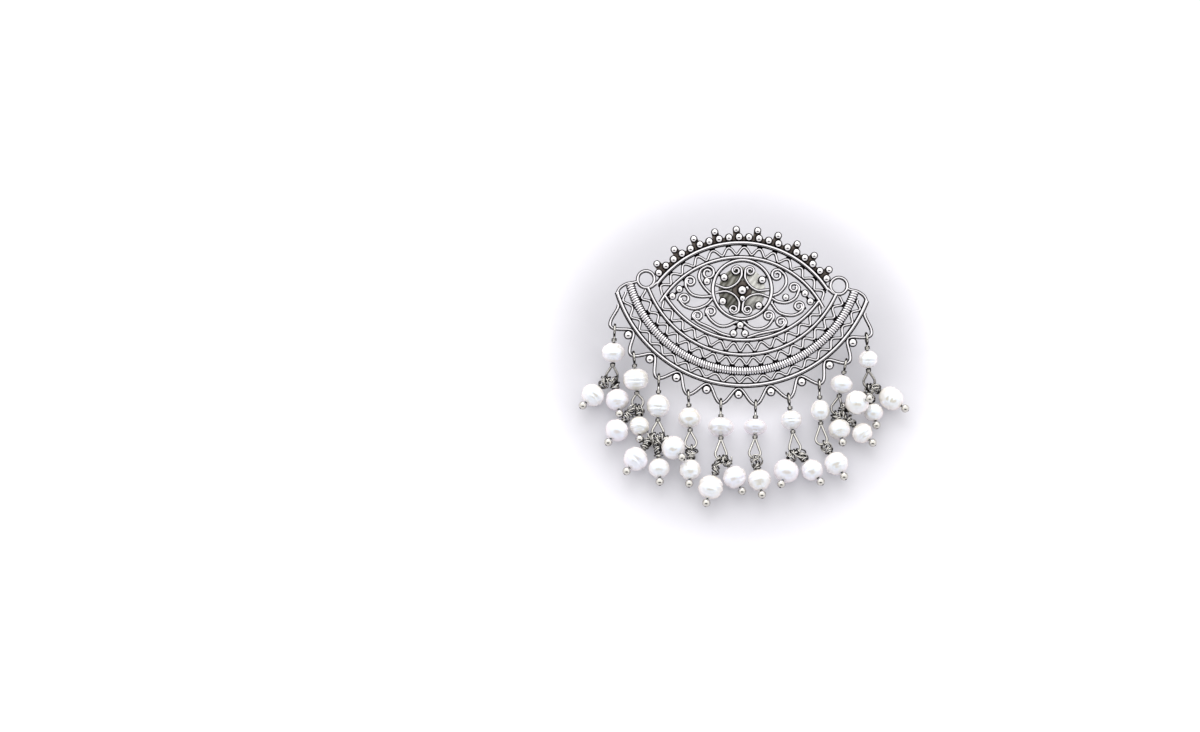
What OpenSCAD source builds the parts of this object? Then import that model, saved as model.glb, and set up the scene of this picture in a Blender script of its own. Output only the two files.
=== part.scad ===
// Pearl drop earring: a fan of silver filigree that lies face up on its ear post, with ten strands of
// pearls spread out below it. Millimetres, Z up, the part rests on Z = 0 and the strands run towards -Y.

/* [Plate] */
// Tilt of the plate where it lies on its post, in degrees
plate_tilt = 21; // [20.5:0.5:21.5]
// Thickness of the frame wires, front to back
frame_t = 1.2; // [1.1:0.1:1.4]
// Width of the strong frame wires
frame_w = 0.75; // [0.65:0.05:0.8]
// Width of the light frame wires
light_w = 0.55; // [0.45:0.05:0.6]
// Width of the thin wires that fill the frame
fill_w = 0.44; // [0.36:0.02:0.46]
// Thickness of the thin wires, front to back
fill_t = 0.8; // [0.7:0.1:0.9]
// Diameter of the rope wound from wire
rope_d = 1.3; // [1.2:0.05:1.35]
// Radius of the small silver grains
grain_r = 0.67; // [0.6:0.01:0.7]
// Radius of the large grains under the scalloped edge
edge_grain_r = 0.8; // [0.76:0.02:0.84]

/* [Ear post] */
// Diameter of the post
post_d = 0.8; // [0.7:0.1:0.9]
// Length of the post behind its pad
post_len = 9; // [8.9:0.1:9.1]
// Diameter of the pad
pad_d = 8.4; // [7.6:0.2:8.8]

/* [Strands] */
// Diameter of the link wires
link_wire_d = 0.46; // [0.4:0.02:0.46]
// Diameter of the head pins
pin_wire_d = 0.36; // [0.3:0.02:0.36]
// Diameter of the ball that ends each head pin
ball_d = 1.5; // [1.3:0.1:1.5]

/* [Hidden] */
$fn = 64;
silver = "#c9c9cc";
champagne = "#c2b9a6";
pearl_white = "#f2efe9";
slack = 0.08;
pad_t = 0.5;
pad_gap = 0.05;
// The pad and post sit behind the middle of the rosette
post_at = [0, 0];
post_end = pad_gap + pad_t + post_len;

// The two centres that all the arcs of the plate turn about, seen from the middle of the rosette
upper_c = [0, -10.15];
lower_c = [0, 6.55];
upper_r = 18.6;
lens_top_r = 16.6;
lens_top_c = [0, -10.75];
lens_low_r = 16.4;
lens_low_c = [0, 7.5];
band_r = 18.05;
rope_r = 20.95;
rim_r = 23.55;
crest_r = 24.1;
tip_r = 27;
lobe = 13.2;
ring_c = [17.2, 1.35];
ring_out = 1.78;
ring_in = 1.25;
// The right end of the upper arc, where it turns under its ring, and of the rim, which bends to the ring
arc_end = [[14.5, 1.5], [15.5, 0.45], [16.4, -0.1], [17.4, -0.15]];
rim_end = [[22.3, -1.3], [21.75, -0.3], [20.6, 0.45], [19.4, 0.7], [18.7, 0.95]];
rosette_c = [0, 0.1];
rosette_r = 5.25;
scallop_w = 0.6;
scallop_z = 0.45;

// The part's own origin is under the middle of its whole box
middle = [1.034, -13.99];
// Height of the middle of the plate's back, with the post's end on the surface
plate_z = post_end * cos(plate_tilt) + post_d / 2 * sin(plate_tilt);

// Scrolls in the right half of the lens: four points of the wire, then the middle and radius of its curl
scrolls = [
  // x1, y1, x2, y2, x3, y3, x4, y4, curl_x, curl_y, curl_r
  [4.9, -0.7, 6.8, 0.1, 7.75, 1.7, 7.2, 3.0, 6.05, 2.9, 1.2],
  [5.0, -1.2, 8.0, -1.9, 9.7, -0.9, 10.1, 0.6, 9.2, 0.8, 0.98],
  [4.9, -1.9, 6.8, -3.8, 9.2, -4.2, 10.9, -3.1, 10.15, -2.55, 0.95],
  [0.6, -5.8, 2.8, -6.8, 4.9, -6.1, 5.7, -4.8, 4.9, -4.4, 1.0],
  [0.9, -8.7, 4.4, -7.3, 7.1, -6.55, 8.0, -5.6, 7.15, -5.4, 1.0]
];
// The upper right petal of the rosette, in the same columns
petal = [5.2, 0.6, 2.8, 0.2, 1.15, 1.1, 0.38, 3.3, 1.2, 3.5, 0.95];
// Grains inside the right half of the lens
lens_grains = [
  // x, y, radius
  [3.35, 2.15, 0.65],
  [3.3, -2.3, 0.65],
  [7.8, -1.0, 0.55],
  [11.2, -0.2, 0.6],
  [12.2, -1.6, 0.6],
  [0, -6.2, 0.62],
  [1.0, -7.75, 0.62]
];
// Short wires that tie the grains to the frame
ties = [
  // from_x, from_y, to_x, to_y
  [4.7, 2.8, 3.0, 1.95],
  [4.6, -3.0, 3.0, -2.15],
  [8.0, -1.7, 7.7, -0.7],
  [9.9, 0.5, 11.35, -0.35],
  [11.0, 0.1, 12.35, -1.8],
  [13.5, -1.35, 11.9, -1.7],
  [0.12, -5.0, 0.05, -6.6],
  [-0.15, -5.9, 1.15, -8.0],
  [1.1, -9.0, 0.95, -7.4]
];

// Strands from left to right, in the plate's own view of them
strands = [
  // knot_x, knot_y, knot_z, pearl_at, pearl_w, pearl_h
  [-22.7, -17.3, 1.6, 4.3, 4.3, 3.6],
  [-17.8, -21.9, 1.6, 4.2, 5.0, 4.0],
  [-14.2, -27.0, 1.6, 5.0, 4.2, 4.2],
  [-8.2, -28.7, 1.6, 4.3, 4.2, 3.7],
  [-2.9, -30.4, 2.7, 4.6, 4.7, 3.4],
  [3.1, -30.1, 2.1, 4.3, 4.2, 2.9],
  [10.4, -28.9, 1.6, 4.1, 3.9, 3.5],
  [15.0, -27.3, 1.6, 4.8, 3.5, 3.8],
  [17.4, -21.8, 1.6, 3.8, 4.1, 3.4],
  [23.5, -16.8, 1.6, 4.0, 3.6, 3.2]
];
drops = [
  // strand, x, y, z, pearl_w, pearl_h, side
  [1, -21.6, -20.3, 2.2, 4.3, 3.9, 25],
  [1, -26.0, -19.6, 2.2, 4.4, 3.8, -45],
  [2, -17.5, -24.8, 1.9, 3.8, 3.4, 10],
  [2, -21.5, -25.7, 2.2, 4.3, 3.9, -45],
  [3, -18.0, -30.6, 2.3, 4.6, 4.2, -52],
  [3, -11.4, -28.4, 3.1, 4.4, 4.1, 51],
  [3, -13.8, -32.1, 2.0, 3.9, 3.5, 0],
  [4, -8.3, -32.2, 2.0, 4.0, 3.7, 5],
  [5, -4.6, -35.1, 2.3, 4.6, 4.3, -22],
  [5, -0.4, -33.2, 2.2, 4.4, 4.0, 38],
  [6, 4.0, -33.6, 2.2, 4.3, 3.8, 10],
  [7, 8.7, -31.8, 2.4, 4.6, 4.1, -26],
  [7, 13.3, -31.5, 2.1, 4.1, 3.8, 35],
  [8, 17.6, -30.2, 2.3, 4.5, 4.1, 35],
  [9, 21.0, -19.3, 4.6, 4.4, 4.2, 114],
  [9, 22.2, -24.7, 2.0, 4.0, 3.5, 56],
  [9, 18.1, -24.2, 2.1, 4.1, 3.6, 2],
  [10, 27.3, -18.4, 2.2, 4.3, 4.6, 40],
  [10, 24.2, -21.0, 1.8, 3.6, 3.2, -17]
];

// Plain geometry
function unit(v) = v / norm(v);
function down_arc(c, r, a) = [c[0] + r * sin(a), c[1] - r * cos(a)];
function up_arc(c, r, a) = [c[0] + r * sin(a), c[1] + r * cos(a)];
function spline(p, q, r, s, t) =
  0.5 * (2 * q + (r - p) * t + (2 * p - 5 * q + 4 * r - s) * t * t + (3 * q - p - 3 * r + s) * t * t * t);
function through(p, n) = [
  for (i = [0:len(p) - 2], j = [0:n - (i == len(p) - 2 ? 0 : 1)])
    spline(p[max(i - 1, 0)], p[i], p[i + 1], p[min(i + 2, len(p) - 1)], j / n)
];
function normal_at(p, i) =
  let (d = unit(p[min(i + 1, len(p) - 1)] - p[max(i - 1, 0)])) [-d[1], d[0]];

// A wire drawn flat along a path
module stroke(p, w) {
  polygon(concat(
    [for (i = [0:len(p) - 1]) p[i] + normal_at(p, i) * w / 2],
    [for (i = [len(p) - 1:-1:0]) p[i] - normal_at(p, i) * w / 2]
  ));
}

// A piece of a ring about c, to an angle of a on either side of straight up or straight down
module arc_strip(c, r, w, a, up) {
  far = 2 * r;
  s = up ? 1 : -1;
  intersection() {
    translate(c) difference() {
      circle(r = r + w / 2);
      circle(r = r - w / 2);
    }
    polygon([c, c + far * [-sin(a), s * cos(a)], c + far * [0, s], c + far * [sin(a), s * cos(a)]]);
  }
}

module curl(c, r, w) {
  translate(c) difference() {
    circle(r = r);
    circle(r = r - w);
  }
}

// A wavy wire between two arcs: it touches both borders waves times
module waves_down(r_out, r_in, in_shift, span, waves) {
  stroke([
    for (i = [0:waves * 8])
      let (a = -span + 2 * span * i / (waves * 8),
        lo = r_in - in_shift * cos(a),
        mid = (r_out + lo) / 2,
        amp = (r_out - lo) / 2 - 0.12)
      down_arc(lower_c, mid + amp * cos(360 * i / 8 + 180), a)
  ], fill_w);
}

module waves_up(span, waves) {
  stroke([
    for (i = [0:waves * 8])
      let (a = -span + 2 * span * i / (waves * 8),
        lo = lens_top_r - 0.6 * cos(a),
        mid = (upper_r + lo) / 2,
        amp = (upper_r - lo) / 2 - 0.12)
      up_arc(upper_c, mid + amp * cos(360 * i / 8 + 180), a)
  ], fill_w);
}

// Angles of the ten outer grains along the top
function outer_at(i) = let (a = -47 + 10.44 * i) a + 1.4 * cos(1.9 * a);
function scallop_r(a) = (tip_r + crest_r) / 2 - (tip_r - crest_r) / 2 * cos(360 * a / lobe);

module frame_wires() {
  arc_strip(upper_c, upper_r, frame_w, 57.5, true);
  arc_strip(lens_top_c, lens_top_r, light_w, 61, true);
  arc_strip(lens_low_c, lens_low_r, light_w, 57, false);
  arc_strip(lower_c, band_r, light_w, 68.3, false);
  arc_strip(lower_c, rim_r, frame_w, 71, false);
  curl(rosette_c, rosette_r + 0.22, 0.44);
  for (s = [-1, 1]) {
    curl([s * ring_c[0], ring_c[1]], ring_out, ring_out - ring_in);
    stroke(through([for (p = arc_end) [s * p[0], p[1]]], 4), light_w);
    stroke(through([for (p = rim_end) [s * p[0], p[1]]], 4), light_w);
  }
}

module one_scroll(row, w) {
  stroke(through([for (i = [0:3]) [row[2 * i], row[2 * i + 1]]], 5), w);
  curl([row[8], row[9]], row[10], w);
}

module fill_wires() {
  waves_up(58, 8);
  waves_down(band_r, lens_low_r, 0.95, 58, 8);
  waves_down(rope_r - 0.4, band_r, 0, 68, 9);
  waves_down(rim_r, rope_r + 0.4, 0, 70, 10);
  for (m = [0, 1]) mirror([m, 0]) {
    for (row = scrolls) one_scroll(row, fill_w);
    for (t = ties) stroke([[t[0], t[1]], [t[2], t[3]]], fill_w);
    for (v = [0, 1]) mirror([0, v]) one_scroll(petal, 0.4);
  }
  circle(r = 1.75);
}

// Nearly round in section, so that the eyes turn freely round it
module scallop() {
  path = [for (i = [-60:60]) down_arc(lower_c, scallop_r(i * 1.1), i * 1.1)];
  edge = 0.18;
  for (step = [[scallop_w, edge], [scallop_w - edge, edge / 2], [scallop_w - 2 * edge, 0]])
    translate([0, 0, scallop_z - scallop_w / 2 + step[1]])
      linear_extrude(scallop_w - 2 * step[1]) stroke(path, step[0]);
}

module backing() {
  arc_strip(upper_c, upper_r + 0.85, 1.5, 52, true);
  for (i = [0:9]) translate(up_arc(upper_c, 20.9, outer_at(i))) circle(r = 0.75);
}

module grains() {
  for (i = [0:19]) translate(concat(up_arc(upper_c, 19.65, -49.6 + 5.22 * i), [0.7])) sphere(r = grain_r);
  for (i = [0:9]) translate(concat(up_arc(upper_c, 20.95, outer_at(i)), [0.6])) sphere(r = grain_r);
  for (i = [-4:4])
    translate(concat(down_arc(lower_c, crest_r + 1.05, lobe * i), [0.5])) sphere(r = edge_grain_r);
  for (s = [-1, 1], g = lens_grains)
    if (s == 1 || g[0] > 0) translate([s * g[0], g[1], 0.8]) sphere(r = g[2]);
  translate([0, 0, 0.8]) sphere(r = 0.8);
}

// The plate's own frame, as it lies on its post
module on_plate() {
  translate([-middle[0], -middle[1], plate_z]) rotate([plate_tilt, 0, 0]) children();
}

function plate_point(u, v, n) = [
  u - middle[0],
  v * cos(plate_tilt) - n * sin(plate_tilt) - middle[1],
  plate_z + v * sin(plate_tilt) + n * cos(plate_tilt)
];
// A point at height z that is seen at u, v by an eye square to the plate
function seen_point(u, v, z) = [
  u - middle[0],
  (v - (z - plate_z) * sin(plate_tilt)) / cos(plate_tilt) - middle[1],
  z
];

module filigree_plate() color(silver) on_plate() {
  linear_extrude(frame_t) frame_wires();
  translate([0, 0, 0.1]) linear_extrude(fill_t) fill_wires();
  scallop();
  linear_extrude(0.5) backing();
  translate([lower_c[0], lower_c[1], 0.66]) rotate([0, 0, -90 - 73])
    rotate_extrude(angle = 146) translate([rope_r, 0]) circle(d = rope_d);
  grains();
}

module ear_post() color(silver) on_plate() {
  translate([post_at[0], post_at[1], -pad_gap - pad_t]) cylinder(d = pad_d, h = pad_t);
  translate([post_at[0], post_at[1], -post_end]) cylinder(d = post_d, h = post_len + 0.1);
}

// The strands
eye_r = 0.9;
lower_eye_r = 1;
pin_eye_r = 0.6;
collar_h = 0.7;
link_r = link_wire_d / 2;
pin_r = pin_wire_d / 2;
top_eye_at = eye_r - link_r - scallop_w / 2 - 0.2;

// Where the top eye holds the scalloped edge: a little inward of each lobe's tip
function holds_at(k) =
  let (in = 1.65 * (abs(k - 5.5) - 0.5) / 4, a = lobe * (k - 5.5) - (k < 5.5 ? -in : in))
  let (p = down_arc(lower_c, scallop_r(a), a)) plate_point(p[0], p[1], scallop_z);
function knot(k) = let (s = strands[k - 1]) seen_point(s[0], s[1], s[2]);
function heading(k) = unit(knot(k) - holds_at(k));
function sideways(k) = let (d = heading(k)) unit([-d[1], d[0], 0]);
function reach(k) = norm(knot(k) - holds_at(k));
function lower_eye_at(k) = reach(k) - 0.3 - lower_eye_r;

module along(p, d) {
  translate(p) rotate([0, acos(d[2]), atan2(d[1], d[0])]) children();
}

module wire_ring(r, wire_r) {
  rotate([90, 0, 0]) rotate_extrude() translate([r, 0]) circle(r = wire_r);
}

module link_wire(k) color(champagne) along(holds_at(k), heading(k)) {
  s = strands[k - 1];
  low = s[3] + s[5] / 2 + slack;
  apex = low + 0.4;
  far = lower_eye_at(k) - apex;
  spread = asin(lower_eye_r / far);
  translate([0, 0, top_eye_at]) wire_ring(eye_r, link_r);
  translate([0, 0, top_eye_at + eye_r]) cylinder(r = link_r - 0.01, h = apex - top_eye_at - eye_r);
  translate([0, 0, s[3] - s[5] / 2 - slack - collar_h]) cylinder(r = 0.5, h = collar_h);
  translate([0, 0, low]) cylinder(r = 0.5, h = collar_h);
  for (side = [-1, 1]) translate([0, 0, apex]) rotate([side * spread, 0, 0]) {
    cylinder(r = link_r, h = far * cos(spread) - 0.05);
    translate([0, 0, far * cos(spread)]) sphere(r = link_r + 0.02);
  }
  translate([0, 0, lower_eye_at(k)]) rotate([0, 90, 0]) rotate([0, 0, 93 - spread])
    rotate_extrude(angle = 174 + 2 * spread) translate([lower_eye_r, 0]) circle(r = link_r);
}

// A drilled pearl, wide across the hole and high along it
module pearl(w, h, bore_r) {
  steps = 14;
  first = asin(2 * bore_r / w);
  rotate_extrude() polygon([
    for (i = [0:steps]) let (t = first + (180 - 2 * first) * i / steps) [w / 2 * sin(t), h / 2 * cos(t)]
  ]);
}

module link_pearl(k) color(pearl_white) along(holds_at(k), heading(k)) {
  s = strands[k - 1];
  translate([0, 0, s[3]]) pearl(s[4], s[5], link_r + slack);
}

// A drop: its eye goes round the end of the strand's lower eye, side degrees from the strand's own line
function outward(r) = cos(r[6]) * heading(r[0]) + sin(r[6]) * sideways(r[0]);
function across(r) = cos(r[6]) * sideways(r[0]) - sin(r[6]) * heading(r[0]);
function pin_eye(r) = holds_at(r[0]) + lower_eye_at(r[0]) * heading(r[0]) + (lower_eye_r + 0.06) * outward(r);
function pearl_mid(r) = seen_point(r[1], r[2], r[3]);
function pin_way(r) = unit(pearl_mid(r) - pin_eye(r));
function pin_at(r) = norm(pearl_mid(r) - pin_eye(r));

module on_pin(r) {
  z = pin_way(r);
  y = unit(across(r) - (across(r) * z) * z);
  x = cross(y, z);
  e = pin_eye(r);
  multmatrix([
    [x[0], y[0], z[0], e[0]],
    [x[1], y[1], z[1], e[1]],
    [x[2], y[2], z[2], e[2]],
    [0, 0, 0, 1]
  ]) children();
}

module head_pin(r) on_pin(r) {
  mid = pin_at(r);
  wire_ring(pin_eye_r, pin_r);
  translate([0, 0, pin_eye_r]) cylinder(r = pin_r - 0.01, h = mid + r[5] / 2 - pin_eye_r + ball_d / 2);
  translate([0, 0, mid - r[5] / 2 - slack - 0.6]) cylinder(r = 0.4, h = 0.6);
  translate([0, 0, mid + r[5] / 2 + slack + ball_d / 2]) sphere(d = ball_d);
}

module head_pins(k) color(champagne) {
  for (r = drops) if (r[0] == k) head_pin(r);
}

module drop_pearl(i) color(pearl_white) on_pin(drops[i]) {
  translate([0, 0, pin_at(drops[i])]) pearl(drops[i][4], drops[i][5], pin_r + slack);
}

LINKS = [1:10];

filigree_plate();
ear_post();
for (k = LINKS) {
  link_wire(k);
  link_pearl(k);
  head_pins(k);
}
for (i = [0:len(drops) - 1]) {
  drop_pearl(i);
}
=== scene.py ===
# %% [markdown]
# # A pearl drop earring in silver filigree
# The real thing is a fan of fine silver wire, bent and soldered flat, with a post behind its rosette.
# Ten strands hang from its scalloped edge. Each has a drilled pearl on a link, and below it one to three
# more pearls on ball-ended pins. Here it lies face up on a white table, propped on its own post.
#
# The CAD solids give the places and the outer size. This file draws the same wires again, a little thicker
# and with all their waves, as a silversmith would lay them: one section of wire carried along one path, with
# windings, grains and pearls that aren't quite round.

# %% The CAD model as the fixed frame
import math

import bpy
import numpy as np
from mathutils import Matrix, Vector


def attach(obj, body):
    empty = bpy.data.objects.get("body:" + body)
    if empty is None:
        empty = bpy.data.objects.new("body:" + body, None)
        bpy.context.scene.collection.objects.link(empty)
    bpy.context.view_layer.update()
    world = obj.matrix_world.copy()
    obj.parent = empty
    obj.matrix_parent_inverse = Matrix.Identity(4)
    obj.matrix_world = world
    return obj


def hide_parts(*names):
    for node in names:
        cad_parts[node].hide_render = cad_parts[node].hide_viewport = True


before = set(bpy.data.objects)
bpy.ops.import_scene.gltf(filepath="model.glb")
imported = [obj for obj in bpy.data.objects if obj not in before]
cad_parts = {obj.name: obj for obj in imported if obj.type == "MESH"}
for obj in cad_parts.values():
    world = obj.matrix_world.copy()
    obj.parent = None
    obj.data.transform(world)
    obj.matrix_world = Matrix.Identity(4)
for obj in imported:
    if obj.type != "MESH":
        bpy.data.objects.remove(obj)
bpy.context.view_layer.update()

# %% [markdown]
# ## The plate's own frame
# All the wires of the fan are easiest to draw flat, with the middle of the rosette at zero: u to the right,
# v up the plate and n out of its face, in millimetres. The plate leans on its post at 21 degrees, so one
# function turns such points into the frame of the whole part. The strands lie free, and they are placed by
# points on the plate and by points that an eye square to the plate would see.

# %% From plate to part
TILT = math.radians(21)
MIDDLE_X, MIDDLE_Y = 1.034, -13.99
POST_END, POST_R = 9.55, 0.4
PLATE_Z = POST_END * math.cos(TILT) + POST_R * math.sin(TILT)


def on_plate(p):
    """Points u, v, n of the plate as points of the part, in millimetres."""
    p = np.asarray(p, float)
    u, v, n = p[..., 0], p[..., 1], p[..., 2]
    y = v * math.cos(TILT) - n * math.sin(TILT) - MIDDLE_Y
    z = PLATE_Z + v * math.sin(TILT) + n * math.cos(TILT)
    return np.stack([u - MIDDLE_X, y, z], -1)


def seen_at(u, v, z):
    """The point at height z that is seen over u, v of the plate."""
    y = (v - (z - PLATE_Z) * math.sin(TILT)) / math.cos(TILT) - MIDDLE_Y
    return np.array([u - MIDDLE_X, y, z])


def unit(v):
    return np.asarray(v, float) / np.linalg.norm(v)


FACE = on_plate([0, 0, 1]) - on_plate([0, 0, 0])
print("middle of the plate's back in mm:", on_plate([0, 0, 0]).round(3))

# %% [markdown]
# ## Wire, the one thing that all of it is made of
# Filigree is wire: drawn round, rolled flat, twisted or wound. In Blender a bevelled curve would do, but
# here each wire is skinned by hand from rings of points, because each ring can then also carry a value for
# how bright its silver is. That value is partly the wheel's polish and partly painted light: tops are kept
# bright as painted highlights, and sides and corners black, partly sulphide and partly painted shade. That
# contrast is what makes filigree readable.

# %% Rings of points to closed skins
def skin(rings, buff_and_painted_light=1.0, loop=False):
    """A closed surface over a row of rings, as points, faces and each point's bright share, polish and
    painted light.
    """
    rings = np.asarray(rings, float)
    n, m = rings.shape[:2]
    i = np.arange(n if loop else n - 1)[:, None]
    j = np.arange(m)[None, :]
    k, l = (i + 1) % n, (j + 1) % m
    quads = np.stack([i * m + j, i * m + l, k * m + l, k * m + j], -1).reshape(-1, 4)
    points = rings.reshape(-1, 3)
    shine = np.broadcast_to(buff_and_painted_light, (n, m)).reshape(-1)
    ends = np.zeros((0, 3), int)
    if not loop:
        points = np.vstack([points, rings[0].mean(0), rings[-1].mean(0)])
        shine = np.append(shine, [shine[:m].mean(), shine[-m:].mean()])
        c = np.arange(m)
        d = (c + 1) % m
        start = np.stack([np.full(m, n * m), d, c], -1)
        stop = np.stack([np.full(m, n * m + 1), (n - 1) * m + c, (n - 1) * m + d], -1)
        ends = np.vstack([start, stop])
    thirds = np.vstack([quads[:, :3], quads[:, [0, 2, 3]], ends])
    p = points - points.mean(0)
    volume = np.einsum("ij,ij->i", p[thirds[:, 0]], np.cross(p[thirds[:, 1]], p[thirds[:, 2]])).sum()
    if volume < 0:
        quads, ends = quads[:, ::-1], ends[:, ::-1]
    return points, quads.tolist() + ends.tolist(), shine


def piece(name, skins, material, slot, crease=None, **more):
    """One mesh object from several skins. more holds further values for each point, by name."""
    points, faces, shine, start = [], [], [], 0
    for p, f, b in skins:
        points.append(p)
        faces += [[c + start for c in face] for face in f]
        shine.append(b)
        start += len(p)
    mesh = bpy.data.meshes.new(name)
    mesh.from_pydata((np.vstack(points) / 1000).tolist(), [], faces)
    mesh.shade_smooth()
    if crease:
        mesh.set_sharp_from_angle(angle=math.radians(crease))
    values = {"buff_and_painted_light": np.concatenate(shine), **more}
    for key, value in values.items():
        mesh.attributes.new(key, "FLOAT", "POINT").data.foreach_set("value", value.astype(np.float32))
    mesh.materials.append(material)
    made = bpy.data.objects.new(name, mesh)
    bpy.context.scene.collection.objects.link(made)
    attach(made, "root")
    triangles = sum(len(f) - 2 for f in faces)
    print(f"{name}: {len(skins)} wires or grains, {triangles} triangles")
    return made


# %% [markdown]
# ## Sections and paths
# Two sections are enough. A bar is a wire rolled to an oval that stands on edge, with a round top, and the
# frames, the waves and the scrolls are bars of different widths. Only a narrow strip along the top is
# bright, partly the wheel's polish and partly a painted highlight, and the sides are black, partly sulphide
# and partly painted shade, so each bar reads as one bright line between two black ones. The back was rubbed
# a little too. A round wire is used where a wire leaves the plane. Paths are arcs, smooth curves through a
# few points, and spirals.

# %% Sections and paths
def bar(width, low, high, most=1.0):
    """Section of an oval wire on edge: points across and up, and each one's bright share of polish and
    painted light.
    """
    top = np.radians([0, 35, 58, 71, 90, 109, 122, 145, 180])
    low_half = np.radians([180, 225, 270, 315, 360])
    r = width / 2
    a = np.concatenate([r * np.cos(top), r * np.cos(low_half)])
    b = np.concatenate([high - r + r * np.sin(top), low + r + r * np.sin(low_half)])
    height = np.concatenate([np.sin(top), np.sin(low_half)])
    rubbed = 0.5 * np.clip((-height - 0.5) / 0.4, 0, 1)
    # painted light: only the top strip is bright, polish with a painted highlight, and the sides stay black,
    # sulphide with painted shade
    bright_share = most * np.clip((height - 0.85) / 0.1, 0, 1)
    return np.stack([a, b], -1), np.maximum(bright_share, rubbed)


def lay(path, section, loop=False):
    """A wire that lies in the plate, its section carried along a path of u, v points."""
    path = np.asarray(path, float)
    if loop:
        way = np.roll(path, -1, 0) - np.roll(path, 1, 0)
    else:
        way = np.gradient(path, axis=0)
    way /= np.linalg.norm(way, axis=1)[:, None]
    across = np.stack([-way[:, 1], way[:, 0]], -1)
    shape, bright_share = section
    flat = path[:, None] + across[:, None] * shape[None, :, :1]
    up = np.broadcast_to(shape[None, :, 1:], flat[..., :1].shape)
    return skin(on_plate(np.concatenate([flat, up], -1)), bright_share[None], loop)


def tube(path, r, sides=10, loop=False, least=0.25):
    """A round wire along a path of points in the part's frame. The side facing out of the plate is
    brightest, a painted highlight, and the flanks darker, painted shade.
    """
    path = np.asarray(path, float)
    way = np.roll(path, -1, 0) - np.roll(path, 1, 0) if loop else np.gradient(path, axis=0)
    way /= np.linalg.norm(way, axis=1)[:, None]
    side = np.zeros_like(way)
    side[0] = unit(np.cross(way[0], np.eye(3)[np.argmin(abs(way[0]))]))
    for i in range(1, len(path)):
        side[i] = unit(side[i - 1] - way[i] * (side[i - 1] @ way[i]))
    turn = np.linspace(0, 2 * math.pi, sides, endpoint=False)
    other = np.cross(way, side)
    ring = np.cos(turn)[None, :, None] * side[:, None] + np.sin(turn)[None, :, None] * other[:, None]
    # painted light: bright where the ring faces out of the plate, dark on the flanks and below
    upper = np.clip((ring @ unit(FACE) - 0.66) / 0.25, 0, 1)
    return skin(path[:, None] + r * ring, least + (1 - least) * upper, loop)


def ball(centre, r, way, rings=14, sides=20, squash=1.0, reach=(0.42, 0.82), most=1.0):
    """A ball at a point of the part. way points to its bright side, and the colour darkens towards the rim
    as painted shade.
    """
    way = unit(way)
    side = unit(np.cross(way, (1, 0, 0) if abs(way[0]) < 0.9 else (0, 1, 0)))
    other = np.cross(way, side)
    t = np.linspace(0.03, math.pi - 0.03, rings)[:, None]
    s = np.linspace(0, 2 * math.pi, sides, endpoint=False)[None]
    ring = np.cos(s)[..., None] * side + np.sin(s)[..., None] * other
    points = np.asarray(centre) + r * (np.sin(t)[..., None] * ring + squash * np.cos(t)[..., None] * way)
    # painted light: bright round way, a painted highlight on polish, and dark towards the rim, painted shade
    buff_and_painted_light = np.clip((np.cos(t) - reach[0]) / (reach[1] - reach[0]), 0, 1)
    return skin(points, np.broadcast_to(most * buff_and_painted_light, (rings, sides)))


def arc(centre, r, a, up=False):
    """Points at angles a, in degrees, from straight down, or from straight up."""
    a = np.radians(a)
    return np.stack([centre[0] + r * np.sin(a), centre[1] + (1 if up else -1) * r * np.cos(a)], -1)


def through(points, n=8):
    """A smooth curve through the points."""
    p = np.asarray(points, float)
    p = np.vstack([2 * p[0] - p[1], p, 2 * p[-1] - p[-2]])
    t = np.linspace(0, 1, n, endpoint=False)[:, None]
    runs = []
    for a, b, c, d in zip(p, p[1:], p[2:], p[3:]):
        runs.append(0.5 * (2 * b + (c - a) * t + (2 * a - 5 * b + 4 * c - d) * t**2
                           + (3 * b - a - 3 * c + d) * t**3))
    return np.vstack(runs + [p[-2:-1]])


def evenly(path, step):
    """The same path with its points a step apart."""
    far = np.r_[0, np.cumsum(np.linalg.norm(np.diff(path, axis=0), axis=1))]
    at = np.linspace(0, far[-1], max(3, int(far[-1] / step)))
    return np.stack([np.interp(at, far, path[:, k]) for k in range(path.shape[1])], -1)


def curled(points, centre, r, turns=1.15, tighten=0.4):
    """A scroll: a curve through the points that then winds inward round the centre."""
    run = through(points)
    centre = np.asarray(centre, float)
    last, way = run[-1] - centre, run[-1] - run[-2]
    sense = np.sign(last[0] * way[1] - last[1] * way[0])
    t = np.linspace(0, 1, 40)[1:]
    turn = math.atan2(last[1], last[0]) + sense * t * turns * 2 * math.pi
    start = np.linalg.norm(last)
    wide = r + (start - r) * np.clip(1 - 5 * t, 0, 1) - t * tighten * r
    spiral = centre + wide[:, None] * np.stack([np.cos(turn), np.sin(turn)], -1)
    return evenly(np.vstack([run, spiral]), 0.14)


def lathed(profile, buff_and_painted_light=1.0):
    """A profile of radius and n, turned about the middle of the rosette."""
    s = np.linspace(0, 2 * math.pi, 48, endpoint=False)
    rows = [np.stack([r * np.cos(s), r * np.sin(s), np.full(len(s), n)], -1) for r, n in profile]
    return skin(on_plate(np.stack(rows)), buff_and_painted_light)


# %% [markdown]
# ## Sterling silver, oxidised and then buffed
# The finished fan was dipped to turn it black with silver sulphide and then buffed, which takes the black
# off whatever the wheel can touch. Polished silver has no colour of its own beyond a faint warmth, so it
# shows the studio. The sulphide is a dull brown violet. One value mixes the two: each point's bright share,
# less what an ambient occlusion node finds in the crevices between wires, with a little noise so that the
# edge of the black isn't ruled. The bright share is partly the wheel's polish and partly painted light:
# bright tops of wires and grains are painted highlights, and their black flanks and rims are painted shade
# and painted dark reflections. Roughness follows the same value, and a shallow bump gives the surface the
# tiny unevenness of hand-finished wire. A metal keeps the default IOR.

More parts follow.
